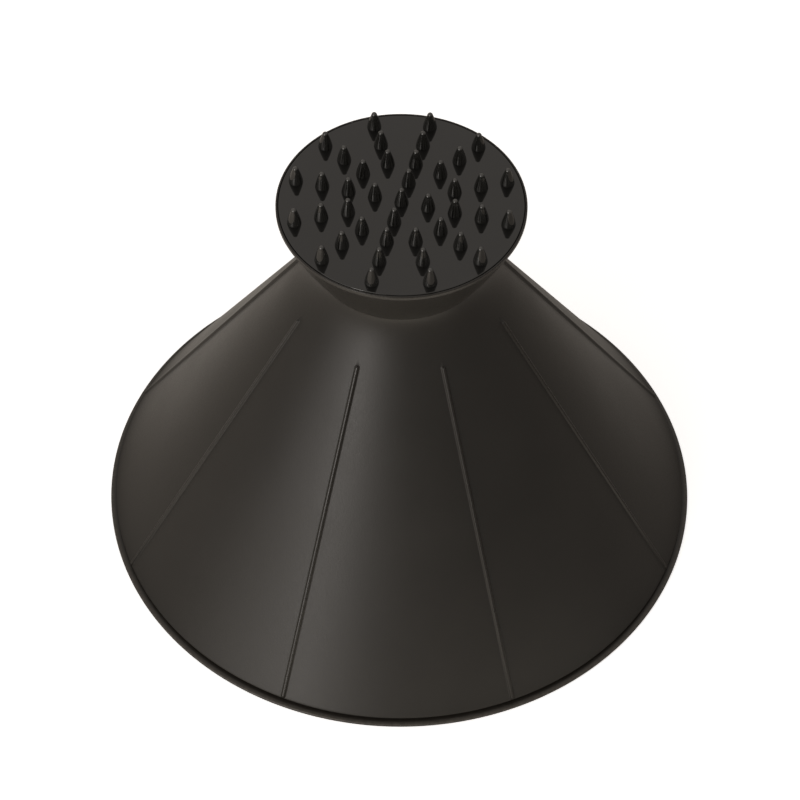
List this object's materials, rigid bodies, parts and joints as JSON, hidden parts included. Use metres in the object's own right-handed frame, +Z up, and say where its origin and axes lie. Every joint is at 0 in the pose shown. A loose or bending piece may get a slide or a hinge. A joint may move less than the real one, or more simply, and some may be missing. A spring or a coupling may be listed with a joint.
{
  "type": "cone-shaped windscreen ice scraper",
  "caption": "Cone-shaped windscreen ice scraper with a wide scraping rim, raised ribs and a pull-off spiked ice-breaker cap; without its cap it is a funnel.",
  "frame": {"origin": "centre of the scraping edge, on the plane that the wide rim rests on", "axes": "+Z up along the cone's axis, from the wide rim to the spiked cap; a rib stands 22.5 degrees to each side of +X and of +Y"},
  "size_m": [0.155, 0.155, 0.1149],
  "materials": {
    "cone_plastic": "fine satin moulded texture",
    "ring_plastic": "smooth satin",
    "cap_plastic": "satin plate with glossy spikes"
  },
  "bodies": {
    "scraper": {"cone_body": "cone_plastic", "scraper_ring": "ring_plastic"},
    "cap": {"spiked_cap": "cap_plastic"}
  },
  "joints": [
    {"name": "cap_pull", "type": "slide", "parent": "scraper", "child": "cap", "axis": [0, 0, 1], "range_m": [0, 0.03]}
  ]
}
